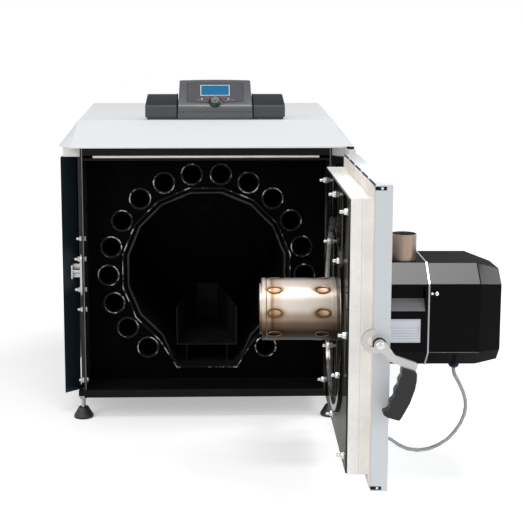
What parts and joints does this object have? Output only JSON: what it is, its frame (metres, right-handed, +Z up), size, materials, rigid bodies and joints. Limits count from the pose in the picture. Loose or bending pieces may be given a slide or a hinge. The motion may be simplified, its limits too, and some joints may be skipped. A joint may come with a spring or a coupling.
{
  "type": "pellet boiler",
  "caption": "Floor-standing pellet boiler with its burner door swung open, showing the combustion chamber ringed by fire tubes.",
  "frame": {"origin": "on the floor, centred on the boiler's width, in the plane of the front frame", "axes": "+Z up from the floor, +Y from the front frame to the flue outlet at the rear, +X to the hinge side, which is on the right as seen from the front"},
  "size_m": [1.079, 1.8505, 0.9296],
  "materials": {
    "black_steel": "heat-resistant matt black paint",
    "navy_panel": "dark powder coat",
    "white_cover": "light grey-white powder coat",
    "grey_panel": "light grey powder coat",
    "insulation": "pressed fibre board",
    "zinc_steel": "zinc plated",
    "tube_steel": "dull boiler tube steel",
    "flame_steel": "heat-tinted stainless steel",
    "shield_steel": "glossy black enamel",
    "burner_shell": "matt black powder coat",
    "trim_metal": "satin",
    "pellet_steel": "raw drawn tube",
    "controller_plastic": "fine-grained moulded plastic",
    "screen": "backlit display",
    "knob_plastic": "moulded plastic",
    "foot_rubber": "moulded rubber",
    "cable_sheath": "grey cable sheath",
    "gland_plastic": "nylon",
    "grip_plastic": "moulded grip",
    "socket_steel": "plain steel socket"
  },
  "bodies": {
    "boiler": {"frame_header": "black_steel", "frame_sill": "black_steel", "left_jamb": "black_steel", "right_jamb": "black_steel", "header_seal": "insulation", "tube_sheet": "black_steel", "fire_tubes": "tube_steel", "chamber_shell": "black_steel", "ash_pan": "tube_steel", "water_jacket": "black_steel", "rear_tube_sheet": "black_steel", "smoke_box": "black_steel", "flue_collar": "black_steel", "water_sockets": "socket_steel", "left_side_panel": "navy_panel", "right_side_panel": "navy_panel", "rear_panel": "grey_panel", "base_frame": "black_steel", "foot_rods": "zinc_steel", "foot_pads": "foot_rubber", "top_insulation": "insulation", "top_cover": "white_cover", "latch_keeper": "zinc_steel", "hinge_brackets": "black_steel", "controller_housing": "controller_plastic", "controller_wings": "controller_plastic", "controller_screen": "screen"},
    "door": {"door_box": "grey_panel", "insulation_back": "insulation", "insulation_front": "insulation", "heat_shield": "shield_steel", "shield_ring": "shield_steel", "shield_studs": "zinc_steel", "flame_tube": "flame_steel", "flame_nozzle": "flame_steel", "burner_housing": "burner_shell", "burner_hood": "burner_shell", "hood_trim": "trim_metal", "pellet_pipe": "pellet_steel", "cable_glands": "gland_plastic", "burner_cable": "cable_sheath", "latch_pivot": "zinc_steel"},
    "latch": {"latch_lever": "zinc_steel", "lever_grip": "grip_plastic"},
    "knob": {"control_knob": "knob_plastic"}
  },
  "joints": [
    {"name": "door_hinge", "type": "hinge", "parent": "boiler", "child": "door", "pos_m": [0.384, -0.025, 0.415], "axis": [0, 0, 1], "range_deg": [-88.5, 26.5]},
    {"name": "latch_turn", "type": "hinge", "parent": "door", "child": "latch", "pos_m": [0.35571, -0.76151, 0.414], "axis": [-0.0262, -0.9997, 0], "range_deg": [0, 75]},
    {"name": "knob_turn", "type": "hinge", "parent": "boiler", "child": "knob", "pos_m": [0.025, 0.11091, 0.871], "axis": [0, -0.766, 0.6428], "continuous": true}
  ]
}
